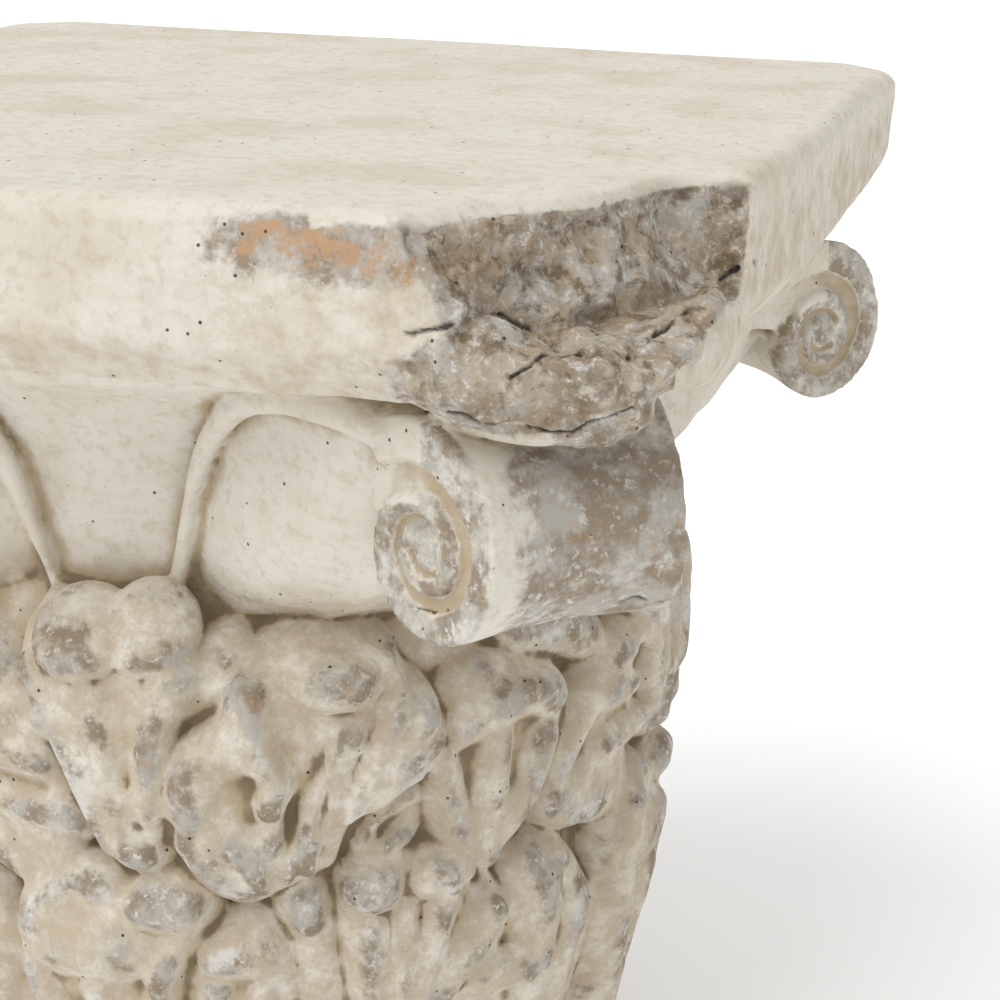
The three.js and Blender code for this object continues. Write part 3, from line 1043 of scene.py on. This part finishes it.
# %% Cracks
CRACKS = [
    ([(148, -188, 332), (152, -184, 335), (154, -180, 336), (161, -173, 335)], 1.2),
    ([(120, -187, 340), (131, -185, 343), (137, -165, 342), (144, -160, 337)], 1.0),
    ([(114, -178, 321), (130, -186, 320), (139, -185, 319), (150, -176, 316)], 0.8),
    ([(150, -176, 316), (160, -176, 316), (175, -172, 322)], 0.6),
    ([(167, -145, 259), (172, -144, 261), (177, -138, 259)], 0.8),
    ([(188, -85, 345), (180, -95, 341), (180, -134, 340), (175, -145, 336), (173, -167, 335)], 1.4),
    ([(116, -165, 259), (121, -168, 259), (125, -169, 261)], 0.6),
    ([(127, -172, 266), (130, -173, 266)], 0.6),
    ([(70, -115, 370), (76, -118, 370), (79, -115, 370)], 0.7),
]
SHEET_WAY = np.array([0.29, -0.91, 0.30])
SHEET_DEPTH = 20
WAVER_SIZE = 5
WAVER_SEEDS = (31, 32, 33)
FAR_AWAY = 99.0
CRACK_ZONE = 2.5
CRACK_EDGE = (0.7, 0.3)
CRACK_CUTS = 3


def crack_gaps(points):
    """How many crack widths each point lies away from the nearest crack."""
    wavering = points + np.stack([noise(points, WAVER_SIZE, seed) for seed in WAVER_SEEDS], axis=1)
    nearest = np.full(len(points), FAR_AWAY)
    for line, width in CRACKS:
        for start, end in zip(np.array(line, dtype=float), np.array(line[1:], dtype=float)):
            arm = wavering - start
            way = end - start
            gap = arm - np.clip(arm @ way / (way @ way), 0, 1)[:, None] * way
            depth = gap @ SHEET_WAY
            aside = np.linalg.norm(gap - depth[:, None] * SHEET_WAY, axis=1)
            nearest = np.where(np.abs(depth) < SHEET_DEPTH, np.minimum(nearest, aside / width), nearest)
    return nearest


def open_cracks(piece):
    only(piece)
    faces = piece.data.polygons
    centres = np.empty(3 * len(faces), dtype=np.float32)
    faces.foreach_get("center", centres)
    close = crack_gaps(centres.reshape(-1, 3) / MM) < CRACK_ZONE
    bpy.ops.object.mode_set(mode="EDIT")
    bpy.ops.mesh.select_mode(type="FACE")
    bpy.ops.mesh.select_all(action="DESELECT")
    bpy.ops.object.mode_set(mode="OBJECT")
    faces.foreach_set("select", close)
    bpy.ops.object.mode_set(mode="EDIT")
    bpy.ops.mesh.subdivide(number_cuts=CRACK_CUTS)
    bpy.ops.mesh.quads_convert_to_tris()
    bpy.ops.object.mode_set(mode="OBJECT")
    points, normals = points_of(piece), normals_of(piece)
    dark = smooth_step(*CRACK_EDGE, crack_gaps(points))
    move_points(piece, points - normals * dark[:, None])
    # The crack mask also tells the material where to paint black: painted shade inside the cracks.
    store(piece, "crack", dark)
    print("cracks", len(CRACKS), "and now", triangle_count(piece), "triangles")


open_cracks(capital)

# %% [markdown]
# ## Node helpers
# A material is a tree of small nodes. `add` makes one node and fills its sockets, either with a plain
# value or with a wire from another node. `blend`, `calc` and `span` are short forms for the three nodes
# used most: a colour mix, a sum and a soft threshold. `coat` lays a paint over a colour where a mask
# says, at some strength.

# %% Node helpers
def add(tree, kind, inputs, **settings):
    made = tree.nodes.new(kind)
    for name, value in settings.items():
        setattr(made, name, value)
    for name, value in inputs.items():
        if isinstance(value, bpy.types.NodeSocket):
            tree.links.new(value, made.inputs[name])
        else:
            made.inputs[name].default_value = value
    return made


def blend(tree, factor, first, second):
    return add(tree, "ShaderNodeMix", {0: factor, 6: first, 7: second}, data_type="RGBA").outputs[2]


def calc(tree, operation, first, second):
    return add(tree, "ShaderNodeMath", {0: first, 1: second}, operation=operation).outputs[0]


def coat(tree, color, paint, where, strength):
    return blend(tree, calc(tree, "MULTIPLY", where, strength), color, paint)


def span(tree, value, low, high):
    ends = {"Value": value, "From Min": low, "From Max": high}
    return add(tree, "ShaderNodeMapRange", ends, interpolation_type="SMOOTHSTEP").outputs["Result"]


def grain(tree, place, size, detail=4.0, roughness=0.6):
    look = {"Vector": place, "Scale": 1000 / size, "Detail": detail, "Roughness": roughness}
    return add(tree, "ShaderNodeTexNoise", look).outputs["Fac"]


def new_group(name, inputs, outputs):
    tree = bpy.data.node_groups.new(name, "ShaderNodeTree")
    for label, kind in inputs:
        tree.interface.new_socket(label, in_out="INPUT", socket_type="NodeSocket" + kind)
    for label, kind in outputs:
        tree.interface.new_socket(label, in_out="OUTPUT", socket_type="NodeSocket" + kind)
    return tree, tree.nodes.new("NodeGroupInput"), tree.nodes.new("NodeGroupOutput")


print("node helpers ready")

# %% [markdown]
# ## Paint
# Three node groups hold the looks that repeat: old limewash with ochre stains and with dirt and painted
# shade in its hollows and creases, the worn body under it, and the tiny air holes of a casting, painted
# black as shade. Each puts out a colour or a mask, and the material lays them over one another.

# %% Paint groups
LIME = (0.69, 0.65, 0.575, 1)
CREAM = (0.60, 0.54, 0.43, 1)
TAN = (0.45, 0.37, 0.27, 1)
OCHRE = (0.42, 0.33, 0.21, 1)
DIRT_AND_SHADE = (0.15, 0.11, 0.065, 1)
GREY = (0.39, 0.365, 0.325, 1)
PALE = (0.64, 0.62, 0.58, 1)
BROWN = (0.22, 0.165, 0.11, 1)
ORANGE = (0.44, 0.25, 0.12, 1)
WARM = (0.42, 0.31, 0.20, 1)
BLACK = (0.03, 0.025, 0.02, 1)
BRUSH_STRETCH = (0.12, 1.0, 1.0)
PINHOLE_SPACING = 4
PINHOLE_SHARE = 0.2


def limewash_group():
    inputs = [("Place", "Vector"), ("Hollow", "Float"), ("Crease", "Float"), ("Leafy", "Float")]
    tree, start, end = new_group("limewash", inputs, [("Color", "Color")])
    place, hollow, crease, leafy = (start.outputs[label] for label, _ in inputs)
    stain = span(tree, grain(tree, place, 38, 4), 0.45, 0.68)
    fleck = span(tree, grain(tree, place, 5, 4, 0.7), 0.48, 0.66)
    stretch = {0: place, 1: BRUSH_STRETCH}
    drawn = add(tree, "ShaderNodeVectorMath", stretch, operation="MULTIPLY").outputs["Vector"]
    brushed = span(tree, grain(tree, drawn, 3, 3), 0.5, 0.7)
    tanned = calc(tree, "MULTIPLY", leafy, span(tree, grain(tree, place, 12, 5, 0.75), 0.3, 0.62))
    ragged = calc(tree, "MULTIPLY", calc(tree, "SUBTRACT", grain(tree, place, 9, 4), 0.5), 0.9)
    dust_and_shade = calc(tree, "ADD", hollow, ragged)
    creased = span(tree, calc(tree, "ADD", crease, ragged), 0.45, 1.0)
    deep = calc(tree, "MAXIMUM", span(tree, dust_and_shade, 0.72, 1.15), creased)
    color = coat(tree, LIME, CREAM, stain, 0.75)
    color = coat(tree, color, OCHRE, fleck, 0.3)
    color = coat(tree, color, CREAM, brushed, 0.35)
    color = coat(tree, color, TAN, tanned, 0.85)
    # Ochre, then near-black in the deepest hollows and creases: dirt and painted shade.
    color = coat(tree, color, OCHRE, span(tree, dust_and_shade, 0.12, 0.75), 0.85)
    color = coat(tree, color, DIRT_AND_SHADE, deep, 0.8)
    tree.links.new(color, end.inputs["Color"])
    return tree


def worn_group():
    inputs = [("Place", "Vector"), ("Rust", "Float")]
    tree, start, end = new_group("worn_body", inputs, [("Color", "Color")])
    place, rust = (start.outputs[label] for label, _ in inputs)
    clean = calc(tree, "SUBTRACT", 1.0, calc(tree, "MULTIPLY", rust, 0.7))
    color = blend(tree, span(tree, grain(tree, place, 14, 4, 0.65), 0.42, 0.6), GREY, BROWN)
    color = coat(tree, color, PALE, clean, span(tree, grain(tree, place, 22, 5, 0.75), 0.5, 0.66))
    color = coat(tree, color, PALE, clean, span(tree, grain(tree, place, 3, 4, 0.7), 0.55, 0.66))
    specks = calc(tree, "ADD", calc(tree, "MULTIPLY", rust, 0.4), grain(tree, place, 5, 4, 0.75))
    color = blend(tree, span(tree, specks, 0.76, 0.96), color, ORANGE)
    tree.links.new(color, end.inputs["Color"])
    return tree


# Black spots that the material lays on: painted shade inside tiny air holes that the mesh does not carve.
def pinhole_group():
    tree, start, end = new_group("pinholes", [("Place", "Vector")], [("Mask", "Float")])
    spacing = {"Vector": start.outputs["Place"], "Scale": 1000 / PINHOLE_SPACING}
    cells = add(tree, "ShaderNodeTexVoronoi", spacing)
    chosen = calc(tree, "GREATER_THAN", cells.outputs["Color"], 1 - PINHOLE_SHARE)
    small = span(tree, cells.outputs["Distance"], 0.17, 0.1)
    tree.links.new(calc(tree, "MULTIPLY", chosen, small), end.inputs["Mask"])
    return tree


LIMEWASH, WORN_BODY, PINHOLES = limewash_group(), worn_group(), pinhole_group()
print("paint groups", LIMEWASH.name, WORN_BODY.name, PINHOLES.name)

# %% [markdown]
# ## The stone material
# The material reads the masks, frays their edges with noise so no border is clean, and lays worn body,
# raw break and pinholes over the limewash, with painted shade in the pits of the break and black painted
# shade in the pinholes and cracks. A fine bump gives the chalky grain that is too small for the mesh.

# %% The stone material
BUMP_DEPTH = 0.0006


def mask(tree, name):
    return add(tree, "ShaderNodeAttribute", {}, attribute_name=name).outputs["Fac"]


def frayed(tree, value, place, size, low, high):
    fringe = calc(tree, "MULTIPLY", calc(tree, "SUBTRACT", grain(tree, place, size, 4, 0.7), 0.5), 1.3)
    return span(tree, calc(tree, "ADD", value, fringe), low, high)


def stone_material():
    stone = bpy.data.materials.new("stone")
    stone.use_nodes = True
    tree = stone.node_tree
    surface = tree.nodes["Principled BSDF"]
    place = add(tree, "ShaderNodeTexCoord", {}).outputs["Object"]
    worn, rust, raw_face = (mask(tree, name) for name in ("worn", "rust", "raw"))
    wash = add(tree, "ShaderNodeGroup", {}, node_tree=LIMEWASH)
    body = add(tree, "ShaderNodeGroup", {}, node_tree=WORN_BODY)
    holes = add(tree, "ShaderNodeGroup", {}, node_tree=PINHOLES)
    for group in (wash, body, holes):
        tree.links.new(place, group.inputs["Place"])
    for name in ("hollow", "crease", "leafy"):
        tree.links.new(mask(tree, name), wash.inputs[name.capitalize()])
    tree.links.new(rust, body.inputs["Rust"])
    worn_edge = frayed(tree, worn, place, 7, 0.3, 0.8)
    bare = calc(tree, "MAXIMUM", worn_edge, frayed(tree, raw_face, place, 7, 0.3, 0.6))
    warm = calc(tree, "MULTIPLY", raw_face, span(tree, grain(tree, place, 16, 4, 0.7), 0.4, 0.6))
    crumble = grain(tree, place, 6, 5, 0.7)
    crumbs = calc(tree, "MULTIPLY", raw_face, span(tree, crumble, 0.55, 0.68))
    shaded_pits = calc(tree, "MULTIPLY", raw_face, span(tree, crumble, 0.5, 0.36))
    dark = calc(tree, "MAXIMUM", holes.outputs["Mask"], mask(tree, "crack"))
    color = coat(tree, wash.outputs["Color"], body.outputs["Color"], bare, 0.85)
    color = coat(tree, color, WARM, warm, 0.5)
    color = coat(tree, color, PALE, crumbs, 0.7)
    # Near-black in the low grain of the break: painted shade in its pits.
    color = coat(tree, color, DIRT_AND_SHADE, shaded_pits, 0.85)
    # Black in pinholes and cracks: painted shade inside them.
    color = coat(tree, color, BLACK, dark, 0.9)
    tree.links.new(color, surface.inputs["Base Color"])
    surface.inputs["Roughness"].default_value = 0.9
    surface.inputs["Specular IOR Level"].default_value = 0.2
    dimples = calc(tree, "MULTIPLY", grain(tree, place, 5, 3), 1.2)
    chalk = calc(tree, "ADD", grain(tree, place, 1.6, 3, 0.7), dimples)
    rubble = calc(tree, "MULTIPLY", calc(tree, "MULTIPLY", crumble, raw_face), 6.0)
    height = calc(tree, "ADD", chalk, rubble)
    bump = add(tree, "ShaderNodeBump", {"Strength": 0.5, "Distance": BUMP_DEPTH, "Height": height})
    tree.links.new(bump.outputs["Normal"], surface.inputs["Normal"])
    return stone


capital.data.materials.clear()
capital.data.materials.append(stone_material())
print("material", capital.data.materials[0].name)

# %% [markdown]
# ## Studio
# The photograph is cut out on pure white. A very pale floor and a bright, even sky come near that. One
# wide, soft sun from the upper left shapes the relief. Its rays fall alike everywhere, so the floor stays
# evenly white.

# %% Studio
FLOOR_PAINT = (0.93, 0.93, 0.93, 1)
FLOOR_GLOW = 0.18
FLOOR_SIZE = 14
SKY_STRENGTH = 0.7
KEY_TURN = -35
KEY_TIP = 38
KEY_SPREAD = 50
KEY_STRENGTH = 1.7


def pale_floor():
    bpy.ops.mesh.primitive_plane_add(size=FLOOR_SIZE)
    floor = bpy.context.object
    floor.name = "floor"
    paint = bpy.data.materials.new("floor_paint")
    paint.use_nodes = True
    surface = paint.node_tree.nodes["Principled BSDF"]
    surface.inputs["Base Color"].default_value = FLOOR_PAINT
    surface.inputs["Roughness"].default_value = 1.0
    surface.inputs["Emission Color"].default_value = FLOOR_PAINT
    surface.inputs["Emission Strength"].default_value = FLOOR_GLOW
    floor.data.materials.append(paint)


def soft_sun(name, turn, tip, spread, strength):
    data = bpy.data.lights.new(name, "SUN")
    data.angle = math.radians(spread)
    data.energy = strength
    light = bpy.data.objects.new(name, data)
    bpy.context.scene.collection.objects.link(light)
    turned_to = Matrix.Rotation(math.radians(turn), 4, "Z")
    light.matrix_world = turned_to @ Matrix.Rotation(math.radians(tip), 4, "X")


def bright_sky():
    world = bpy.data.worlds.new("studio")
    world.use_nodes = True
    background = world.node_tree.nodes["Background"]
    background.inputs["Color"].default_value = (1, 1, 1, 1)
    background.inputs["Strength"].default_value = SKY_STRENGTH
    bpy.context.scene.world = world
    bpy.context.scene.view_settings.view_transform = "Standard"


pale_floor()
soft_sun("key", KEY_TURN, KEY_TIP, KEY_SPREAD, KEY_STRENGTH)
bright_sky()
print("studio ready")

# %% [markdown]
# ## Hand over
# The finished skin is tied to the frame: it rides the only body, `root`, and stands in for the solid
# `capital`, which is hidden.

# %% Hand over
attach(capital, "root")
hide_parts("capital")
